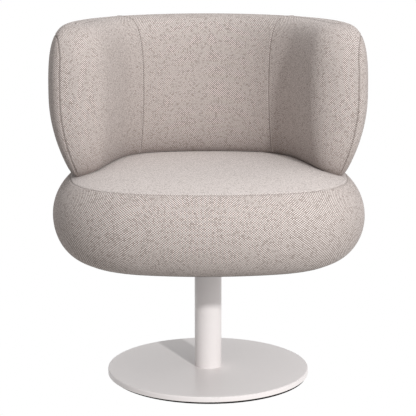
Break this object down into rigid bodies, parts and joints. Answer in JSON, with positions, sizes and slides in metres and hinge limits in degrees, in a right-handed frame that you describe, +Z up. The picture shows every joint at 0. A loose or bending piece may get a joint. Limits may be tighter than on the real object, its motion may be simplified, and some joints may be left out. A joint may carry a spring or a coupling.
{
  "type": "outdoor swivel chair",
  "caption": "Padded tub chair with a thick round seat and a wraparound back, turning freely on a straight column over a flat round base plate",
  "frame": {"origin": "on the floor under the column axis, which is also the middle of the footprint", "axes": "+Z up along the column, -Y the way the sitter faces, +X to the right of someone looking at the front of the chair"},
  "size_m": [0.6882, 0.668, 0.7934],
  "materials": {
    "powder_coat": "matt off-white powder coat",
    "glide_plastic": "moulded",
    "bearing_plastic": "machined acetal",
    "plain_steel": "zinc plated",
    "plywood": "sealed plywood",
    "foam": "open-cell foam",
    "woven_fabric": "flecked flat weave",
    "under_cloth": "plain woven under-cloth"
  },
  "bodies": {
    "pedestal": {"base_plate": "powder_coat", "base_glides": "glide_plastic", "column_tube": "powder_coat", "column_plug": "plain_steel", "column_screws": "plain_steel", "lower_bush": "bearing_plastic", "upper_bush": "bearing_plastic"},
    "seat": {"thrust_washer": "bearing_plastic", "swivel_spindle": "plain_steel", "spindle_washer": "plain_steel", "spindle_clip": "plain_steel", "mount_plate": "plain_steel", "mount_washers": "plain_steel", "mount_bolts": "plain_steel", "tee_nuts": "plain_steel", "post_flanges": "plain_steel", "flange_screws": "plain_steel", "back_rail": "plain_steel", "back_posts": "plain_steel", "seat_board": "plywood", "seat_foam": "foam", "back_foam": "foam", "seat_cover_top": "woven_fabric", "seat_cover_band": "woven_fabric", "seat_cover_underside": "under_cloth", "back_cover_outer": "woven_fabric", "back_cover_centre": "woven_fabric", "back_cover_left": "woven_fabric", "back_cover_right": "woven_fabric"}
  },
  "joints": [
    {"name": "seat_swivel", "type": "hinge", "parent": "pedestal", "child": "seat", "pos_m": [0, 0, 0.29], "axis": [0, 0, 1], "continuous": true}
  ]
}
